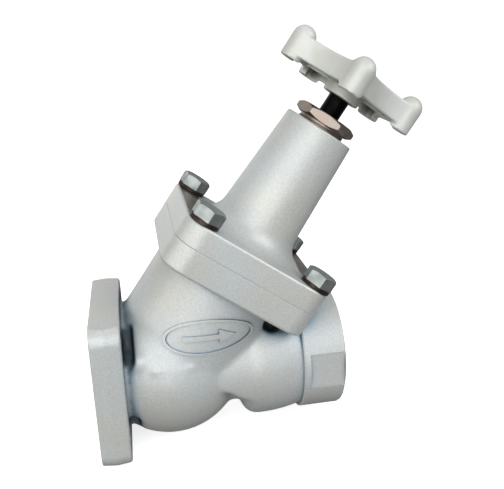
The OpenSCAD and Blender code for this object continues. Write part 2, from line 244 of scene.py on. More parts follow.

# %% [markdown]
# ## Zinc plate, black oxide, cast aluminium, rubber and PTFE
#
# Zinc plate on the screws is a soft bluish silver with cloudy patches. The stem is blackened and
# oiled, so it is nearly black with a narrow sheen. The wheel is a tumbled aluminium casting with
# a whitish matt skin, and painted shade darkens its hollows and the pan underneath. Nitrile rubber
# is a soft black, and PTFE a waxy white.

# %% Zinc plate and black oxide
def plated(name, pale, dark, metallic, roughness, cloud_mm):
    material, tree, shader, place = finish(name, metallic, roughness)
    cloud = add(tree, NOISE,
                inputs={"Vector": place, "Scale": per_mm(cloud_mm), "Detail": 5.0}).outputs["Fac"]
    tree.links.new(add(tree, RAMP, inputs={"Fac": cloud},
                       stops=[(0.35, dark), (0.68, pale)]).outputs["Color"],
                   shader.inputs["Base Color"])
    rough = add(tree, SPREAD,
                inputs={"Value": cloud, "From Min": 0.3, "From Max": 0.7,
                        "To Min": roughness * 1.25, "To Max": roughness * 0.85}).outputs[0]
    tree.links.new(rough, shader.inputs["Roughness"])
    pits = add(tree, NOISE,
               inputs={"Vector": place, "Scale": per_mm(0.6), "Detail": 3.0}).outputs["Fac"]
    bump = add(tree, BUMP,
               inputs={"Strength": 0.3, "Distance": 0.02 * MM, "Height": pits}).outputs[0]
    tree.links.new(bump, shader.inputs["Normal"])
    return material


zinc_plate = plated("zinc plated steel", "#A6ABA8", "#8A9291", 0.8, 0.4, 5)
washer_steel = plated("blackened spring steel", "#4A3C32", "#2B221D", 0.7, 0.42, 3)
black_oxide = plated("black oxide steel", "#141414", "#0A0A0A", 0.95, 0.45, 6)
print("plated finishes:", zinc_plate.name, washer_steel.name, black_oxide.name)


# %% Cast aluminium for the wheel
def tumbled_aluminium():
    material, tree, shader, place = finish("tumbled cast aluminium", 0.25, 0.5)
    cloud = add(tree, NOISE,
                inputs={"Vector": place, "Scale": per_mm(14), "Detail": 3.0}).outputs["Fac"]
    skin = add(tree, RAMP, inputs={"Fac": cloud},
               stops=[(0.35, "#C6C8BF"), (0.65, "#CFD1CC")]).outputs["Color"]
    # Painted shade: occlusion over 9 mm darkens the pan, the hollows and the corners towards near
    # black.
    corner = add(tree, CORNERS, {"samples": 6},
                 {"Distance": 9 * MM}).outputs["AO"]
    painted_shade_mask = add(tree, RAMP, inputs={"Fac": corner},
                stops=[(0.45, 1.0), (0.8, 0.0)]).outputs["Color"]
    painted_pan_shade = add(tree, RAMP, inputs={"Fac": corner},
                stops=[(0.28, "#24261F"), (0.6, "#868879")]).outputs["Color"]
    shaded = add(tree, MIX, {"data_type": "RGBA"},
                 {0: painted_shade_mask, 6: skin, 7: painted_pan_shade}).outputs[2]
    tree.links.new(shaded, shader.inputs["Base Color"])
    grain = add(tree, NOISE,
                inputs={"Vector": place, "Scale": per_mm(0.8), "Detail": 4.0}).outputs["Fac"]
    bump = add(tree, BUMP,
               inputs={"Strength": 0.35, "Distance": 0.04 * MM, "Height": grain}).outputs[0]
    tree.links.new(bump, shader.inputs["Normal"])
    return material


cast_aluminium = tumbled_aluminium()


# %% Rubber and PTFE
def moulded(name, pale, dark, roughness, ior, grain_mm):
    material, tree, shader, place = finish(name, 0.0, roughness, IOR=ior)
    cloud = add(tree, NOISE,
                inputs={"Vector": place, "Scale": per_mm(grain_mm), "Detail": 3.0}).outputs["Fac"]
    tree.links.new(add(tree, RAMP, inputs={"Fac": cloud},
                       stops=[(0.3, dark), (0.7, pale)]).outputs["Color"],
                   shader.inputs["Base Color"])
    bump = add(tree, BUMP,
               inputs={"Strength": 0.3, "Distance": 0.02 * MM, "Height": cloud}).outputs[0]
    tree.links.new(bump, shader.inputs["Normal"])
    return material


nitrile = moulded("moulded nitrile rubber", "#232323", "#151515", 0.55, 1.52, 1.0)
ptfe = moulded("moulded PTFE", "#E9E9E4", "#DDDDD6", 0.45, 1.35, 2.0)
print("finishes in all:", len(bpy.data.materials))

# %% [markdown]
# ## Carried-over parts
#
# The small parts inside the valve keep their shapes from the frame. Each gets its real finish by
# giving its object that material.

# %% Finishes of the carried-over parts
CARRIED = {
    "inlet_o_ring": nitrile, "bonnet_o_ring": nitrile, "seat_disc": nitrile, "stem_wiper": nitrile,
    "seat_ring": seat_bronze, "disc_holder": seat_bronze, "swivel_collar": seat_bronze,
    "disc_washer": bright_steel, "disc_screw": bright_steel, "packing_spring": bright_steel,
    "spring_washer": bright_steel, "handwheel_washer": zinc_plate, "handwheel_nut": zinc_plate,
    "male_adapter": packing_brass, "female_adapter": packing_brass,
    "packing_ring_1": ptfe, "packing_ring_2": ptfe, "packing_ring_3": ptfe,
    "body_casting": silver_cast, "bonnet": silver_cast, "cap_screws": zinc_plate,
    "lock_washers": washer_steel, "packing_nut": gland_bronze, "stem": black_oxide,
    "handwheel": cast_aluminium,
}
for node_name, material in CARRIED.items():
    NODES[node_name].data.materials.clear()
    NODES[node_name].data.materials.append(material)
print("parts without a finish:", sorted(set(NODES) - set(CARRIED)))

# %% [markdown]
# ## Helpers for shapes
#
# Most parts are turned, so the main helper draws a profile by extruding one vertex after another
# and spins it round Z. Others are cut from each other with the Boolean modifier, as a mill or a
# core does in the real part. Each helper clears the selection first, because an operator acts on
# everything that is selected.

# %% Selection and drawing
def clear_selection():
    if bpy.context.object and bpy.context.object.mode != "OBJECT":
        bpy.ops.object.mode_set(mode="OBJECT")
    bpy.ops.object.select_all(action="DESELECT")


def pick(piece):
    clear_selection()
    piece.select_set(True)
    bpy.context.view_layer.objects.active = piece
    return piece


def added(name, material=None):
    """Names the object that an operator just made, and clears edit mode."""
    piece = bpy.context.object
    clear_selection()
    piece.name = piece.data.name = name
    if material:
        piece.data.materials.clear()
        piece.data.materials.append(material)
    return pick(piece)


def drawn(name, points, closed=True):
    """A chain of edges through points in millimetres."""
    clear_selection()
    bpy.ops.mesh.primitive_plane_add(size=MM, enter_editmode=True, location=(0, 0, 0))
    bpy.ops.mesh.select_mode(type="VERT")
    bpy.ops.mesh.select_all(action="SELECT")
    bpy.ops.mesh.merge(type="CENTER")
    here = Vector((0, 0, 0))
    for i, point in enumerate([Vector(p) for p in points] + ([Vector(points[0])] if closed else [])):
        step = (point - here) * MM
        if i == 0:
            bpy.ops.transform.translate(value=step)
        else:
            bpy.ops.mesh.extrude_region_move(TRANSFORM_OT_translate={"value": step})
        here = point
    bpy.ops.mesh.select_all(action="SELECT")
    bpy.ops.mesh.remove_doubles(threshold=0.001 * MM)
    return added(name)


def tidy_normals(piece, merge=0.001):
    pick(piece)
    bpy.ops.object.mode_set(mode="EDIT")
    bpy.ops.mesh.select_all(action="SELECT")
    bpy.ops.mesh.remove_doubles(threshold=merge * MM)
    bpy.ops.mesh.normals_make_consistent(inside=False)
    bpy.ops.object.mode_set(mode="OBJECT")
    return piece


# %% Turning, cutting and placing
def turned(name, profile, material=None, steps=96):
    """Spins a profile of (radius, height) points round Z. One that starts off the axis is closed."""
    drawn(name, [(r, 0, z) for r, z in profile], closed=profile[0][0] > 0)
    bpy.ops.object.mode_set(mode="EDIT")
    bpy.ops.mesh.select_all(action="SELECT")
    bpy.ops.mesh.spin(steps=steps, angle=2 * math.pi, center=(0, 0, 0), axis=(0, 0, 1))
    return tidy_normals(added(name, material))


def prism(name, outline, low, high, material=None):
    """A closed outline of (x, y) points, filled and extruded from low to high."""
    drawn(name, [(x, y, low) for x, y in outline])
    bpy.ops.object.mode_set(mode="EDIT")
    bpy.ops.mesh.select_all(action="SELECT")
    bpy.ops.mesh.edge_face_add()
    bpy.ops.mesh.extrude_region_move(TRANSFORM_OT_translate={"value": (0, 0, (high - low) * MM)})
    return tidy_normals(added(name, material))


def carve(piece, tool, how="DIFFERENCE"):
    """Boolean of two pieces. The tool is used up."""
    pick(piece)
    bpy.ops.object.modifier_add(type="BOOLEAN")
    step = piece.modifiers[-1]
    step.operation, step.solver, step.object = how, "MANIFOLD", tool
    step.material_mode = "TRANSFER"
    bpy.ops.object.modifier_apply(modifier=step.name)
    bpy.data.objects.remove(tool)
    return piece


def softened(piece, width, segments=2, angle=30):
    """Rounds every edge that is sharper than angle."""
    pick(piece)
    bpy.ops.object.modifier_add(type="BEVEL")
    step = piece.modifiers[-1]
    step.width, step.segments, step.limit_method = width * MM, segments, "ANGLE"
    step.angle_limit = math.radians(angle)
    bpy.ops.object.modifier_apply(modifier=step.name)
    return piece


def settled(piece, at=(0, 0, 0), turn=0.0, tilt=0.0):
    """Turns a piece about Z, tilts it about Y, moves it, and applies all that to its mesh."""
    for angles, where in (((0, 0, turn), (0, 0, 0)), ((0, tilt, 0), at)):
        pick(piece)
        piece.rotation_euler = angles
        piece.location = Vector(where) * MM
        bpy.ops.object.transform_apply(location=True, rotation=True, scale=True)
    return piece


def on_stem(piece, turn=0.0):
    return settled(piece, (CROSS, 0, 0), turn, LEAN)


def on_pipe(piece):
    return settled(piece, tilt=math.radians(90))


def copied(piece, name):
    pick(piece)
    bpy.ops.object.duplicate(linked=False)
    return added(name)


def joined(name, pieces):
    clear_selection()
    for piece in pieces:
        piece.select_set(True)
    bpy.context.view_layer.objects.active = pieces[0]
    bpy.ops.object.join()
    return added(name)


def smooth_by_angle(piece, angle=35):
    """Shades curved faces smooth, keeps edges sharper than angle, and leaves flat faces flat."""
    pick(piece)
    bpy.ops.object.shade_smooth_by_angle(angle=math.radians(angle))
    bpy.ops.object.modifier_add(type="WEIGHTED_NORMAL")
    step = piece.modifiers[-1]
    step.keep_sharp = True
    bpy.ops.object.modifier_apply(modifier=step.name)
    return piece


def hand_in(piece, body, slot, *nodes):
    """Declares what a finished piece rides on and the nodes that it replaces. The slot is not used."""
    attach(piece, body)
    if nodes:
        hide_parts(*nodes)
    piece.data.calc_loop_triangles()
    print(piece.name, "triangles:", len(piece.data.loop_triangles))


def cast_skin(piece, voxel, rounds):
    """Melts joined rough shapes into one skin and smooths its corners, as a casting's fillets."""
    pick(piece)
    bpy.ops.object.modifier_add(type="REMESH")
    step = piece.modifiers[-1]
    step.mode, step.voxel_size = "VOXEL", voxel * MM
    bpy.ops.object.modifier_apply(modifier=step.name)
    if rounds:
        bpy.ops.object.modifier_add(type="SMOOTH")
        step = piece.modifiers[-1]
        step.factor, step.iterations = 0.5, rounds
        bpy.ops.object.modifier_apply(modifier=step.name)
    return piece


print("helpers ready")

# %% [markdown]
# ## Square plates
#
# The inlet flange and both halves of the bonnet joint are square plates with round corners. A
# cube is stretched to size, its four upright edges are bevelled into round corners, and the rims
# are rounded. A casting needs draft to leave the mould, so the flange's edge faces slope both
# ways from a parting line, which a bisect puts halfway.

# %% Plate helper
def arc(centre, radius, start, stop, steps):
    return [(centre[0] + radius * math.cos(math.radians(start + (stop - start) * i / steps)),
             centre[1] + radius * math.sin(math.radians(start + (stop - start) * i / steps)))
            for i in range(steps + 1)]


def box(name, at, size, material=None, roll=0.0):
    """A box of this size with its middle at a point, rolled about X."""
    clear_selection()
    bpy.ops.mesh.primitive_cube_add(size=1, location=[c * MM for c in at],
                                    rotation=(roll, 0, 0), scale=[c * MM for c in size])
    piece = added(name, material)
    bpy.ops.object.transform_apply(location=True, rotation=True, scale=True)
    return piece


def plate(name, side, corner, low, high, material, rim=(1.0, 1.0), draft=0.0):
    """A square plate from low to high along Z, with the rims rounded by rim = (lower, upper)."""
    piece = box(name, (0, 0, (low + high) / 2), (side, side, high - low), material)
    mesh = piece.data

    def choose(test):
        bpy.ops.object.mode_set(mode="EDIT")
        bpy.ops.mesh.select_mode(type="EDGE")
        bpy.ops.mesh.select_all(action="DESELECT")
        bpy.ops.object.mode_set(mode="OBJECT")
        for edge in mesh.edges:
            ends = [mesh.vertices[v].co / MM for v in edge.vertices]
            edge.select = test(*ends)
        bpy.ops.object.mode_set(mode="EDIT")

    choose(lambda a, b: abs(a.z - b.z) > 1)
    bpy.ops.mesh.bevel(offset=corner * MM, segments=8, affect="EDGES")
    for height, width in ((low, rim[0]), (high, rim[1])):
        choose(lambda a, b: abs(a.z - height) < 0.01 and abs(b.z - height) < 0.01)
        if draft:
            shrink = (side - 2 * draft) / side
            bpy.ops.transform.resize(value=(shrink, shrink, 1), center_override=(0, 0, 0))
        bpy.ops.mesh.bevel(offset=width * MM, segments=3, affect="EDGES")
    if draft:
        middle = (low + high) / 2 * MM
        bpy.ops.mesh.select_all(action="SELECT")
        bpy.ops.mesh.bisect(plane_co=(0, 0, middle), plane_no=(0, 0, 1))
        swell = side / (side - 2 * draft)
        bpy.ops.transform.resize(value=(swell, swell, 1), center_override=(0, 0, 0))
        bpy.ops.mesh.bevel(offset=0.25 * MM, segments=2, affect="EDGES")
    return tidy_normals(added(name, material))


flange = on_pipe(plate("flange", INLET_SIDE, INLET_CORNER, 0, INLET_T, silver_cast, (0.6, 1.2), 0.5))
joint_half = on_stem(plate("joint_half", JOINT_SIDE, JOINT_CORNER, JOINT_LOW, JOINT_FACE,
                           silver_cast, (1.6, 0.45)))
print("flange faces:", len(flange.data.polygons))

# %% [markdown]
# ## The cast body
#
# The body is one casting: a round bulb under the seat, a chamber up to the joint, and a barrel to
# the outlet. Its walls run into each other in soft fillets. So rough shapes are overlapped,
# melted into one skin by a voxel Remesh, and smoothed, which rounds every inside corner as a
# moulder's fillet does.

# %% Rough shapes of the casting
def ball(name, radius, at):
    clear_selection()
    bpy.ops.mesh.primitive_uv_sphere_add(segments=96, ring_count=48, radius=radius * MM,
                                         location=Vector(at) * MM)
    piece = added(name)
    bpy.ops.object.transform_apply(location=True, rotation=True, scale=True)
    return piece


def rod(name, radius, low, high, material=None, steps=96):
    return turned(name, [(0, low), (radius, low), (radius, high), (0, high)], material, steps)


def cut_away(piece, point, normal):
    """Bisects a closed piece, drops what lies in front of the plane and closes the cut."""
    pick(piece)
    bpy.ops.object.mode_set(mode="EDIT")
    bpy.ops.mesh.select_all(action="SELECT")
    bpy.ops.mesh.bisect(plane_co=Vector(point) * MM, plane_no=normal, use_fill=True,
                        clear_outer=True)
    bpy.ops.object.mode_set(mode="OBJECT")
    return piece


ALONG_STEM = Vector((math.sin(LEAN), 0, math.cos(LEAN)))


def stem_point(height, across=0.0, side=0.0):
    """A point given by its height along the stem, across it in the XZ plane, and sideways."""
    return Vector((CROSS, 0, 0)) + ALONG_STEM * height + \
        Vector((math.cos(LEAN), 0, -math.sin(LEAN))) * across + Vector((0, side, 0))


# %% [markdown]
# The mould parts along the valve's middle plane, so the flange's top and bottom fall away a
# little on both sides of it, like a shallow roof.

# %% Draft of the flange, barrel, chamber and bulb
ROOF = math.radians(1.6)
for side in (-1, 1):
    for up in (-1, 1):
        cut_away(flange, (0, 0, up * INLET_SIDE / 2),
                 (0, side * math.sin(ROOF), up * math.cos(ROOF)))

BARREL_START, BARREL_ROUND, BARREL_BULGE, BARREL_R = 75.0, 8.0, 86.0, 33.4
NECK_R, HUB_DROP, SHOULDER_R, SHOULDER_LOW = 24.8, 2.8, 32.6, 11.5
barrel_profile = [(0, CROSS), (NECK_R, CROSS)]
barrel_profile += [(NECK_R + (BARREL_R - NECK_R) * math.sin(math.radians(a)),
                    BARREL_START + BARREL_ROUND * (1 - math.cos(math.radians(a))))
                   for a in range(0, 91, 15)]
barrel_profile += [(BARREL_R - HUB_DROP * (i / 5) ** 2,
                    BARREL_BULGE + (HUB_LOW - BARREL_BULGE) * i / 5) for i in range(6)]
barrel_profile += [(BARREL_R - HUB_DROP, HUB_LOW + 3), (0, HUB_LOW + 3)]
barrel = on_pipe(turned("barrel", barrel_profile))
shoulder = on_pipe(rod("shoulder", SHOULDER_R, CROSS, BARREL_BULGE))
cut_away(shoulder, stem_point(SHOULDER_LOW), -ALONG_STEM)
chamber = on_stem(rod("chamber", CHAMBER_R, 0, JOINT_LOW + 2))
bulb = ball("bulb", BULB_R, (BULB_X, 0, BULB_Z))
flange_core = on_pipe(plate("flange_core", INLET_SIDE - 3, INLET_CORNER, 2, INLET_T - 0.3, None))
joint_core = on_stem(plate("joint_core", JOINT_SIDE - 3, JOINT_CORNER, JOINT_LOW + 0.4,
                           JOINT_FACE - 3, None))
print("barrel profile points:", len(barrel_profile))

# %% [markdown]
# A round pad and a faint mould line stand a little proud of the bulb's near side. The pad is a
# squashed ball half sunk into the wall, and the line is a thin rod laid along it.

# %% Pad and mould line
PAD_R, PAD_AT, PAD_PIVOT = 6.2, (24.4, -30.0, 15.4), Vector((24.4, -30.6, 15.4))
pad = ball("pad", PAD_R, PAD_AT)
pick(pad)
bpy.ops.transform.resize(value=(1.0, 0.75, 1.0), center_override=PAD_PIVOT * MM)
bpy.ops.object.transform_apply(location=True, rotation=True, scale=True)
MOULD_LINE_AT = (39, -36.7, 13.2)
mould_line = settled(rod("mould_line", 1.0, -10, 10), MOULD_LINE_AT, tilt=math.radians(90))

core = joined("valve_casting", [bulb, barrel, shoulder, chamber, flange_core, joint_core,
                                pad, mould_line])
SKIN = 1.0
cast_skin(core, SKIN, 0)
print("rough skin faces:", len(core.data.polygons))

# %% [markdown]
# Behind each bolt hole a pocket makes room for a nut, and a small hollow lies on each side where
# the joint's flange overhangs the barrel. They are cut before the skin is smoothed. A copy of
# the smooth skin, grown a little all round, is kept for the flow mark.

# %% Nut pockets and hollows
POCKET_R, POCKET_DEEP, POCKET_AT = 12.3, 5.6, BOLT_AT - 1
HOLLOW_R, HOLLOW_X, HOLLOW_Y, HOLLOW_Z = 5.6, 91, 23.5, 27.5
for side in (-1, 1):
    for up in (-1, 1):
        pocket = on_pipe(rod("pocket", POCKET_R, INLET_T - 0.3, INLET_T + POCKET_DEEP, None, 48))
        settled(pocket, (0, side * BOLT_AT, up * POCKET_AT))
        carve(core, pocket)
    carve(core, ball("crevice", HOLLOW_R, (HOLLOW_X, side * HOLLOW_Y, HOLLOW_Z)))
cast_skin(core, SKIN, 14)
core.data.materials.clear()
core.data.materials.append(silver_cast)
MARK_PROUD = 0.9
mark_block = copied(core, "mark_block")
bpy.ops.object.modifier_add(type="DISPLACE")
lift = mark_block.modifiers[-1]
lift.strength, lift.mid_level = MARK_PROUD * MM, 0
bpy.ops.object.modifier_apply(modifier=lift.name)
print("cast skin faces:", len(core.data.polygons))

# %% [markdown]
# ## Hub with wrench flats
#
# The outlet hub is turned round with a softened end, and two flats for a wrench are sunk into
# its sides. A flat stops short of the belly and of the hub's top and bottom, so each has a small
# step all round that catches the light. The sharp edges are softened after the cut.

# %% Outlet hub
hub = turned("hub", [(0, HUB_LOW - 6), (29.5, HUB_LOW - 6), (29.5, HUB_LOW - 0.2),
                     (HUB_R - 0.7, HUB_LOW), (HUB_R, HUB_LOW + 0.7), (HUB_R, OUTLET - 1.6),
                     (HUB_R - 0.5, OUTLET - 0.5), (HUB_R - 1.6, OUTLET), (0, OUTLET)], silver_cast)
on_pipe(hub)
HUB_FLATS, FLAT_START, FLAT_LONG, FLAT_TALL, FLAT_CUT = 61.6, 3.5, 18.4, 19.4, 10.0
for side in (-1, 1):
    at = (HUB_LOW + FLAT_START + FLAT_LONG / 2, side * (HUB_FLATS + FLAT_CUT) / 2, 0)
    carve(hub, box("flat_cutter", at, (FLAT_LONG, FLAT_CUT, FLAT_TALL), silver_cast))
softened(hub, 0.45, 2, 25)
print("hub faces:", len(hub.data.polygons))

# %% Casting, flange, joint and hub as one solid
for part in (flange, joint_half, hub):
    carve(core, part, "UNION")
print("outside faces:", len(core.data.polygons))

# %% [markdown]
# ## Ways through the body
#
# The inlet opens into a round cavity under a sloping wall, the seat ring sits in that wall, and
# the chamber above it opens into the outlet. Each way is a turned or cut plug of bare iron that
# is taken out of the casting, as a core leaves it, so the cut faces take the plug's finish.

# %% Inlet side
INLET_R, CAVITY_R = 19.0, 30.5
cavity = ball("cavity", CAVITY_R, (BULB_X, 0, BULB_Z))
cavity.data.materials.append(bare_iron)
carve(cavity, on_pipe(rod("throat", INLET_R - 0.5, 5, CROSS, bare_iron)), "UNION")
cut_away(cavity, stem_point(WEB_LOW), ALONG_STEM)
carve(core, cavity)
carve(core, on_pipe(turned("inlet_bore", [
    (0, -1), (INLET_R + 2, -1), (INLET_R, 1), (INLET_R, 10), (0, 10)], bare_iron)))
carve(core, on_stem(rod("seat_hole", SEAT_HOLE, WEB_LOW - 1, WEB_TOP + 1, bare_iron)))

# %% Outlet side
THREAD_R, THREAD_LEN = 22.15, 22.0
carve(core, on_stem(turned("chamber_bore", [
    (0, WEB_TOP), (CHAMBER_BORE, WEB_TOP), (CHAMBER_BORE, JOINT_FACE - 0.8),
    (CHAMBER_BORE + 1, JOINT_FACE + 0.2), (CHAMBER_BORE + 1, JOINT_FACE + 1),
    (0, JOINT_FACE + 1)], bare_iron)))
outlet_way = on_pipe(rod("outlet_way", 20.5, CROSS, OUTLET - THREAD_LEN + 1, bare_iron))
cut_away(outlet_way, stem_point(WEB_TOP + 0.05), -ALONG_STEM)
carve(core, outlet_way)
carve(core, on_pipe(turned("thread_bore", [
    (0, OUTLET - THREAD_LEN), (THREAD_R - 0.5, OUTLET - THREAD_LEN),
    (THREAD_R, OUTLET - THREAD_LEN + 1), (THREAD_R, OUTLET - 2), (THREAD_R + 2.2, OUTLET + 0.2),
    (THREAD_R + 2.2, OUTLET + 1), (0, OUTLET + 1)], bare_iron)))
print("after the bores:", len(core.data.polygons))

# %% [markdown]
# ## Pipe thread
#
# A 1-1/2 inch NPT thread has 11.5 turns to the inch, so one turn advances 2.209 mm. A small
# triangle swept by the Screw modifier is the groove that the tap leaves. Its two open ends are
# filled, so that it is a closed solid and the Boolean can take it out of the bore.

# %% Thread helper and outlet thread
def helix(name, section, pitch, turns, material, steps=48):
    """Sweeps a closed (radius, height) section up a screw thread and closes its ends."""
    piece = drawn(name, [(r, 0, z) for r, z in section])
    pick(piece)
    bpy.ops.object.modifier_add(type="SCREW")
    step = piece.modifiers[-1]
    step.screw_offset, step.iterations = pitch * MM, turns
    step.steps = step.render_steps = steps
    bpy.ops.object.modifier_apply(modifier=step.name)
    bpy.ops.object.mode_set(mode="EDIT")
    bpy.ops.mesh.select_all(action="SELECT")
    bpy.ops.mesh.fill_holes(sides=len(section))
    bpy.ops.object.mode_set(mode="OBJECT")
    piece.data.materials.append(material)
    return tidy_normals(piece)


NPT_PITCH, NPT_DEPTH = 25.4 / 11.5, 1.3
groove = helix("pipe_groove", [(THREAD_R - 0.3, -0.46 * NPT_PITCH), (THREAD_R - 0.3, 0.46 * NPT_PITCH),
                               (THREAD_R + NPT_DEPTH, 0.06), (THREAD_R + NPT_DEPTH, -0.06)],
               NPT_PITCH, 10, bare_iron)
settled(groove, (0, 0, OUTLET - THREAD_LEN + 1.2))
carve(core, on_pipe(groove))
print("with the thread:", len(core.data.polygons))

# %% Bolt holes and O-ring grooves
BOLT_HOLE_R, SCREW_HOLE_R, COVER_HOLE_R = 5.5, 4.8, 5.2
for side in (-1, 1):
    for up in (-1, 1):
        hole = on_pipe(rod("bolt_hole", BOLT_HOLE_R, -1, INLET_T + 1, bare_iron, 48))
        carve(core, settled(hole, (0, side * BOLT_AT, up * BOLT_AT)))
        hole = rod("screw_hole", SCREW_HOLE_R, JOINT_LOW - 1, JOINT_FACE + 1, bare_iron, 48)
        carve(core, on_stem(settled(hole, (side * SCREW_AT, up * SCREW_AT, 0))))


def ring(name, outer, inner, low, high, material, steps=96):
    return turned(name, [(inner, low), (outer, low), (outer, high), (inner, high)], material, steps)


carve(core, on_pipe(ring("inlet_groove", 25.6, 21.6, -1, 2.2, bare_iron)))
carve(core, on_stem(ring("joint_groove", 34.6, 31.0, JOINT_FACE - 2, JOINT_FACE + 1, bare_iron)))
body = smooth_by_angle(core, 38)
hand_in(body, "valve_body", "body_paint", "body_casting")

# %% [markdown]
# ## Flow mark
#
# Cast bodies carry a raised mark on the side. Here it is a plain oval rim with a flow arrow. To
# follow the curved wall, a copy of the casting's skin is swollen by the mark's height, and only
# what lies inside the flat outlines is kept.

# %% Oval rim and arrow
MARK_X, MARK_Z, MARK_TILT = 57.3, 28.6, math.radians(-1)
MARK_LONG, MARK_TALL, HOLE_LONG, HOLE_TALL, MARK_IN, MARK_OUT = 22.5, 9.3, 21.1, 8.0, 24, 45


def ellipse(a, b, steps=72):
    return [(a * math.cos(2 * math.pi * i / steps), b * math.sin(2 * math.pi * i / steps))
            for i in range(steps)]


stencil = prism("stencil", ellipse(MARK_LONG, MARK_TALL), MARK_IN, MARK_OUT)
carve(stencil, prism("stencil_hole", ellipse(HOLE_LONG, HOLE_TALL), MARK_IN - 1, MARK_OUT + 1))
arrow = prism("arrow", [(-13, -1.3), (5, -1.3), (5, -3.9), (13.5, 0), (5, 3.9), (5, 1.3), (-13, 1.3)],
              MARK_IN, MARK_OUT)
carve(stencil, arrow, "UNION")
pick(stencil)
stencil.rotation_euler = (math.radians(90), MARK_TILT, 0)
stencil.location = Vector((MARK_X, 0, MARK_Z)) * MM
bpy.ops.object.transform_apply(location=True, rotation=True, scale=True)
mark = carve(mark_block, stencil, "INTERSECT")
mark.name = mark.data.name = "flow_mark"
smooth_by_angle(mark)
hand_in(mark, "valve_body", "body_paint")

# %% [markdown]
# ## Bonnet
#
# The bonnet is a square cover with a slim tower that flares into it. The tower is turned from one
# profile whose foot is a quarter circle, and joined to the cover. After casting, the two strips
# that the screws bear on are milled flat, which cuts the flare off in a sharp step and leaves
# bare, slightly brown metal.

# %% Cover and tower
FLARE, TOWER_LOW_R, TOWER_R, TOWER_EDGE = 12.0, 21.6, 18.7, 0.9
FOOT = TOWER_LOW_R + FLARE
NOSE_LOW, NOSE_R, PILOT_R, PILOT_LOW = 55.0, 19.0, CHAMBER_BORE - 0.1, JOINT_FACE - 2.5
STRIP_FROM, STRIP_CUT = 28.0, 20.0
cover = plate("bonnet_cover", JOINT_SIDE, JOINT_CORNER, JOINT_FACE, JOINT_TOP, silver_cast,
              (0.2, 1.5))
tower = turned("tower", [(0, JOINT_TOP - 2), (FOOT, JOINT_TOP - 2)]
               + arc((FOOT, JOINT_TOP + FLARE - 0.04), FLARE, 270, 180, 16)
               + arc((TOWER_R - TOWER_EDGE, TOWER_TOP - TOWER_EDGE), TOWER_EDGE, 0, 90, 4)
               + [(0, TOWER_TOP)], silver_cast, 128)
carve(cover, tower, "UNION")
nose = turned("nose", [
    (0, NOSE_LOW), (NOSE_R - 0.8, NOSE_LOW), (NOSE_R, NOSE_LOW + 0.8), (NOSE_R, PILOT_LOW),
    (PILOT_R - 0.6, PILOT_LOW), (PILOT_R, PILOT_LOW + 0.6), (PILOT_R, JOINT_FACE + 1),
    (0, JOINT_FACE + 1)], bare_iron)
carve(cover, nose, "UNION")
for end in (-1, 1):
    at = (end * (STRIP_FROM + STRIP_CUT / 2), 0, JOINT_TOP - 0.05 + STRIP_CUT / 2)
    carve(cover, box("strip", at, (STRIP_CUT, JOINT_SIDE + 10, STRIP_CUT), bare_iron))
print("cover faces:", len(cover.data.polygons))

# %% Bores of the bonnet
NUT_WAY, RELIEF_R, STEM_WAY, BOX_R, BOX_LOW = 8.0, 9.5, 5.7, 10.5, 104.0
GLAND_LOW, GLAND_WAY = 131.0, 13.05
carve(cover, turned("stem_bore", [
    (0, NOSE_LOW - 1), (NUT_WAY + 0.8, NOSE_LOW - 1), (NUT_WAY, NOSE_LOW), (NUT_WAY, 84),
    (RELIEF_R, 84.6), (RELIEF_R, 100), (STEM_WAY, 101.5), (STEM_WAY, BOX_LOW), (BOX_R, BOX_LOW),
    (BOX_R, GLAND_LOW), (GLAND_WAY, GLAND_LOW), (GLAND_WAY, TOWER_TOP - 0.8),
    (GLAND_WAY + 0.85, TOWER_TOP + 0.1), (GLAND_WAY + 0.85, TOWER_TOP + 1), (0, TOWER_TOP + 1)],
    bare_iron))
for side in (-1, 1):
    for up in (-1, 1):
        hole = rod("cover_hole", COVER_HOLE_R, JOINT_FACE - 1, JOINT_TOP + 1, bare_iron, 48)
        carve(cover, settled(hole, (side * SCREW_AT, up * SCREW_AT, 0)))
bonnet = smooth_by_angle(on_stem(cover), 30)
hand_in(bonnet, "valve_body", "body_paint", "bonnet")

# %% [markdown]
# ## Cap screws and lock washers
#
# Four 3/8 inch hexagon screws hold the bonnet. A hexagon is a six-sided turning, and crossing it
# with a cone turns the top corners down, which leaves the curved edges that every hexagon head
# shows. Each screw bears on a split lock washer. One of each is modelled and then copied.

# %% Hexagon helper
def hexagon(name, flats, low, high, material, top=True, bottom=False):
    """A hexagon whose chosen ends are turned down at 30 degrees."""
    corner = flats / 2 / math.cos(math.radians(30))
    inner, wide = flats / 2 * 0.97, corner + 1
    fall = (wide - inner) * math.tan(math.radians(30))
    piece = turned(name, [(0, low), (corner, low), (corner, high), (0, high)], material, 6)
    cone = [(0, low)] + ([(inner, low), (wide, low + fall)] if bottom else [(wide, low)])
    cone += ([(wide, high - fall), (inner, high)] if top else [(wide, high)]) + [(0, high)]
    carve(piece, turned("cone", cone, material, 96), "INTERSECT")
    return piece


# %% One screw and one washer
HEAD_LOW, HEAD_HIGH, HEAD_FLATS = JOINT_TOP + 2, JOINT_TOP + 8.2, 14.3
SHANK_LOW, SHANK_R, WASHER_R, WASHER_BORE = 58.0, 4.72, 7.8, 4.95
screw = hexagon("screw", HEAD_FLATS, HEAD_LOW, HEAD_HIGH, zinc_plate)
softened(screw, 0.16, 2, 20)
shank = turned("shank", [(0, SHANK_LOW), (SHANK_R - 1, SHANK_LOW), (SHANK_R, SHANK_LOW + 1),
                         (SHANK_R, HEAD_LOW + 1), (0, HEAD_LOW + 1)], zinc_plate, 48)
carve(screw, shank, "UNION")
washer = ring("washer", WASHER_R, WASHER_BORE, JOINT_TOP, HEAD_LOW, washer_steel, 64)
carve(washer, box("split", (6.5, 0, JOINT_TOP + 1), (6, 0.7, 6), washer_steel, math.radians(35)))
softened(washer, 0.35, 2, 40)
print("screw faces:", len(screw.data.polygons), "washer faces:", len(washer.data.polygons))

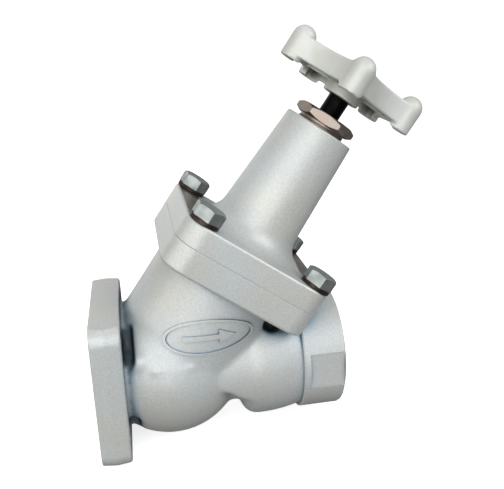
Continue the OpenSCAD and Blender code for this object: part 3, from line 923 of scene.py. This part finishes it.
# %% Four of each, turned as a spanner left them
SCREW_TURNS = {("near", "high"): 30, ("far", "high"): 39, ("near", "low"): 22, ("far", "low"): 51}
for (side, end), turn in SCREW_TURNS.items():
    at = (SCREW_AT * (-1 if end == "high" else 1), SCREW_AT * (-1 if side == "near" else 1), 0)
    head = settled(copied(screw, f"cap_screw_{side}_{end}"), at, math.radians(turn))
    split = settled(copied(washer, f"lock_washer_{side}_{end}"), at, math.radians(turn * 5))
    for piece, slot, node in ((head, "zinc_plate", "cap_screws"),
                              (split, "black_steel", "lock_washers")):
        smooth_by_angle(on_stem(piece), 25)
        hand_in(piece, "valve_body", slot, node)
for piece in (screw, washer):
    bpy.data.objects.remove(piece)

# %% [markdown]
# ## Packing nut
#
# The packing nut is a thin bronze hexagon, turned down on both faces, whose threaded shank enters
# the tower. A few turns of thread show between the two. The thread is a ridge swept by the Screw
# modifier and joined to the shank.

# %% Packing nut
GLAND_FLATS, GLAND_TURN, GLAND_PITCH, GLAND_R = 28.6, 41, 1.1, 13.0
WIPER_LOW, WIPER_R = 152.4, 8.0
gland = hexagon("gland_nut", GLAND_FLATS, HEX_LOW, HEX_TOP, gland_bronze, True, True)
softened(gland, 0.2, 2, 20)
settled(gland, turn=math.radians(GLAND_TURN))
carve(gland, turned("gland_shank", [
    (0, GLAND_LOW), (GLAND_R - 1.5, GLAND_LOW), (GLAND_R - 0.6, GLAND_LOW + 1),
    (GLAND_R - 0.6, HEX_LOW + 1), (0, HEX_LOW + 1)], gland_bronze), "UNION")
ridge = helix("gland_ridge", [
    (GLAND_R - 0.8, -0.45 * GLAND_PITCH), (GLAND_R, -0.08), (GLAND_R, 0.08),
    (GLAND_R - 0.8, 0.45 * GLAND_PITCH)], GLAND_PITCH, 15, gland_bronze, 64)
carve(gland, settled(ridge, (0, 0, GLAND_LOW + 2)), "UNION")
carve(gland, turned("gland_bore", [
    (0, GLAND_LOW - 1), (STEM_WAY, GLAND_LOW - 1), (STEM_WAY, WIPER_LOW), (WIPER_R, WIPER_LOW),
    (WIPER_R, HEX_TOP - 0.5), (WIPER_R + 0.6, HEX_TOP + 0.1), (WIPER_R + 0.6, HEX_TOP + 1),
    (0, HEX_TOP + 1)], gland_bronze))
smooth_by_angle(on_stem(gland), 25)
hand_in(gland, "valve_body", "gland_bronze", "packing_nut")

# %% [markdown]
# ## Stem
#
# The stem is turned from black oxide steel. From the bottom it has the button that lifts the
# disc, a stop collar, the screw that works in the bonnet, a plain part that slides through the
# packing, a square for the wheel and a small thread for its nut.

# %% Stem
STEM_R, ROOT_R, CREST_R, SQUARE, TIP_R = 5.56, 7.2, 7.9, 7.6, 3.9
BUTTON_LOW, BUTTON_TOP, BUTTON_R, NECK = 23.3, 27.0, 8.5, 5.3
STOP_LOW, STOP_TOP, STOP_R, THREAD_TOP, LEAD = 39.0, 42.0, 11.0, 86.0, 3.175
stem = turned("valve_stem", [
    (0, BUTTON_LOW), (BUTTON_R - 1, BUTTON_LOW), (BUTTON_R, BUTTON_LOW + 1),
    (BUTTON_R, BUTTON_TOP), (NECK, BUTTON_TOP), (NECK, STOP_LOW), (STOP_R - 1, STOP_LOW),
    (STOP_R, STOP_LOW + 1), (STOP_R, STOP_TOP), (ROOT_R, STOP_TOP), (ROOT_R, THREAD_TOP - 1.5),
    (STEM_R, THREAD_TOP), (STEM_R, WHEEL_SEAT - 0.4), (STEM_R - 0.4, WHEEL_SEAT),
    (0, WHEEL_SEAT)], black_oxide, 64)
ridge = helix("stem_ridge", [(ROOT_R - 0.2, -1.4), (CREST_R, -0.5), (CREST_R, 0.5),
                             (ROOT_R - 0.2, 1.4)], LEAD, 12, black_oxide, 64)
carve(stem, settled(ridge, (0, 0, STOP_TOP + 2)), "UNION")
square = softened(box("square", (0, 0, 170), (SQUARE, SQUARE, 11), black_oxide), 0.3, 2, 30)
carve(stem, square, "UNION")
carve(stem, turned("stem_tip", [(0, 174), (TIP_R - 0.4, 174), (TIP_R - 0.4, STEM_TOP - 0.8),
                                (TIP_R - 1, STEM_TOP), (0, STEM_TOP)], black_oxide, 48), "UNION")
ridge = helix("tip_ridge", [(TIP_R - 0.5, -0.4), (TIP_R, -0.06), (TIP_R, 0.06),
                            (TIP_R - 0.5, 0.4)], 1.0, 5, black_oxide, 48)
carve(stem, settled(ridge, (0, 0, 177.2)), "UNION")
smooth_by_angle(on_stem(stem, math.radians(WHEEL_TURN)), 25)
hand_in(stem, "stem_group", "black_steel", "stem")

# %% [markdown]
# ## Finger wheel
#
# The wheel is an aluminium casting with five finger lobes whose tops are domed. Straight walls
# run hollow between the lobes, and the underside is a deep pan with a boss and ribs. The rough
# shapes are overlapped, melted and smoothed like the body, so that every corner is soft.

# %% Outline of the wheel
LOBES, LOBE_AT, LOBE_R, WAIST = 5, 32.6, 6.0, 27.0
SKIN_GROWTH = 0.25
RIM_LOW, RIM_TOP, WEB_UNDER, LOBE_LOW, LOBE_TOP = 170.0, 181.0, 175.0, 167.7, 185.8
DISH_R, DISH_LOW, BOSS_R, BOSS_TOP, PAN_WALL, RIB_T = 20.6, 178.0, 10.0, 178.5, 3.2, 2.6


def wheel_outline(inset):
    half = math.pi / LOBES
    step = WAIST - LOBE_R
    far = (LOBE_AT ** 2 - step ** 2) / (2 * (LOBE_AT * math.cos(half) - step))
    turn = math.degrees(math.atan2(far * math.sin(half), far * math.cos(half) - LOBE_AT))
    points = []
    for k in range(LOBES):
        a, mid = 360 / LOBES * k, 360 / LOBES * (k + 0.5)
        lobe = (LOBE_AT * math.cos(math.radians(a)), LOBE_AT * math.sin(math.radians(a)))
        hollow = (far * math.cos(math.radians(mid)), far * math.sin(math.radians(mid)))
        points += arc(lobe, LOBE_R - SKIN_GROWTH - inset, a - turn, a + turn, 10)
        points += arc(hollow, far - WAIST + SKIN_GROWTH + inset,
                      a + turn + 180, 2 * mid - a - turn + 180, 10)
    return points


# %% Rim, lobes, pan, boss and ribs
wheel = prism("finger_wheel", wheel_outline(0), RIM_LOW, RIM_TOP)
dome = LOBE_TOP - LOBE_R
finger = turned("finger", [(0, LOBE_LOW), (LOBE_R, LOBE_LOW)] + arc((0, dome), LOBE_R, 0, 90, 9),
                steps=40)
for k in range(LOBES):
    turn = math.radians(360 / LOBES * k)
    at = (LOBE_AT * math.cos(turn), LOBE_AT * math.sin(turn), 0)
    carve(wheel, settled(copied(finger, "finger_copy"), at), "UNION")
bpy.data.objects.remove(finger)
carve(wheel, prism("pan", wheel_outline(PAN_WALL), LOBE_LOW - 1, WEB_UNDER))
carve(wheel, rod("dish", DISH_R, DISH_LOW, RIM_TOP + 1))
carve(wheel, rod("boss", BOSS_R, WHEEL_SEAT, BOSS_TOP), "UNION")
for k in range(LOBES):
    rib = box("rib", (17.5, 0, WEB_UNDER - 1.5), (17, RIB_T, 5))
    carve(wheel, settled(rib, turn=math.radians(360 / LOBES * (k + 0.5))), "UNION")
cast_skin(wheel, 0.6, 4)
wheel.data.materials.clear()
wheel.data.materials.append(cast_aluminium)
print("wheel faces:", len(wheel.data.polygons))

# %% Square hole and turned boss faces
carve(wheel, box("wheel_hole", (0, 0, 172), (SQUARE + 0.1, SQUARE + 0.1, 20), cast_aluminium))
carve(wheel, rod("boss_face", 8.6, BOSS_TOP - 0.05, 183, bright_steel, 48))
smooth_by_angle(on_stem(wheel, math.radians(WHEEL_TURN - 90)), 40)
hand_in(wheel, "stem_group", "wheel_aluminium", "handwheel")

# %% [markdown]
# ## Floor, light and camera
#
# The valve stands on its flange's edge on a pale floor that curves up into a wall all round.
# The floor glows a little, so that it looks nearly white, but it throws no light on the valve, so
# the undersides stay dark. A wide soft lamp in front, weaker ones left, right, above and behind,
# and a dim room give satin paint its broad highlights.

# %% Floor
FLOOR, BOWL, SWEEP = -39.05, 1500, 400
pale, _, pale_shader, _ = finish("pale lit floor", 0.0, 0.9)
pale_shader.inputs["Base Color"].default_value = linear("#F4F4F4")
pale_shader.inputs["Emission Color"].default_value = (1, 1, 1, 1)
pale_shader.inputs["Emission Strength"].default_value = 0.7
bowl = turned("floor", [(0, FLOOR)] + arc((BOWL - SWEEP, FLOOR + SWEEP), SWEEP, 270, 360, 12)
              + [(BOWL, 1600)], pale)
bowl.visible_diffuse = False
bowl.visible_glossy = False
bowl.visible_shadow = False
bpy.ops.object.shade_smooth()


# %% Lamps
def soft_lamp(name, at, aim, size, power, tint):
    clear_selection()
    bpy.ops.object.light_add(type="AREA", location=Vector(at) * MM)
    lamp = bpy.context.object
    lamp.name = name
    lamp.data.shape, lamp.data.size = "SQUARE", size * MM
    lamp.data.energy, lamp.data.color = power, linear(tint)[:3]
    lamp.rotation_euler = (Vector(aim) - Vector(at)).to_track_quat("-Z", "Y").to_euler()
    return lamp


MIDDLE = (75, 0, 60)
soft_lamp("key", (-280, -1000, 430), MIDDLE, 1200, 10.2, "#FFFFFF")
soft_lamp("top", (100, 100, 950), MIDDLE, 800, 1.0, "#FFFFFF")
soft_lamp("left", (-850, -350, 380), MIDDLE, 600, 1.6, "#FFFFFF")
soft_lamp("right", (700, -450, 450), MIDDLE, 500, 2.9, "#F6F9FF")
soft_lamp("back", (-300, 900, 220), MIDDLE, 600, 1.2, "#FFFFFF")
world = bpy.context.scene.world or bpy.data.worlds.new("room")
bpy.context.scene.world = world
world.use_nodes = True
room = world.node_tree
toward = add(room, "ShaderNodeTexCoord").outputs["Generated"]
height = add(room, "ShaderNodeSeparateXYZ", inputs={0: toward}).outputs["Z"]
glow = add(room, SPREAD, inputs={"Value": height, "From Min": -0.2, "From Max": 0.4,
                                 "To Min": 0.16, "To Max": 0.42}).outputs[0]
room.links.new(glow, room.nodes["Background"].inputs["Strength"])
room.nodes["Background"].inputs["Color"].default_value = (1, 1, 1, 1)

# %% Camera
EYE = Vector((28.68, -336.79, 176.61)) * MM
AHEAD = Vector((0.1595, 0.9345, -0.3184)).normalized()
UP = Vector((0.0880, 0.3078, 0.9474)).normalized()
clear_selection()
bpy.ops.object.camera_add(location=EYE)
camera = bpy.context.object
side = AHEAD.cross(UP).normalized()
camera.rotation_euler = Matrix((side, side.cross(AHEAD), -AHEAD)).transposed().to_euler()
camera.data.sensor_width, camera.data.lens = 36.0, 48.92
camera.data.clip_start, camera.data.clip_end = 0.01, 20
bpy.context.scene.camera = camera
bpy.context.scene.view_settings.view_transform = "Standard"

# %% Update the scene
bpy.context.view_layer.update()
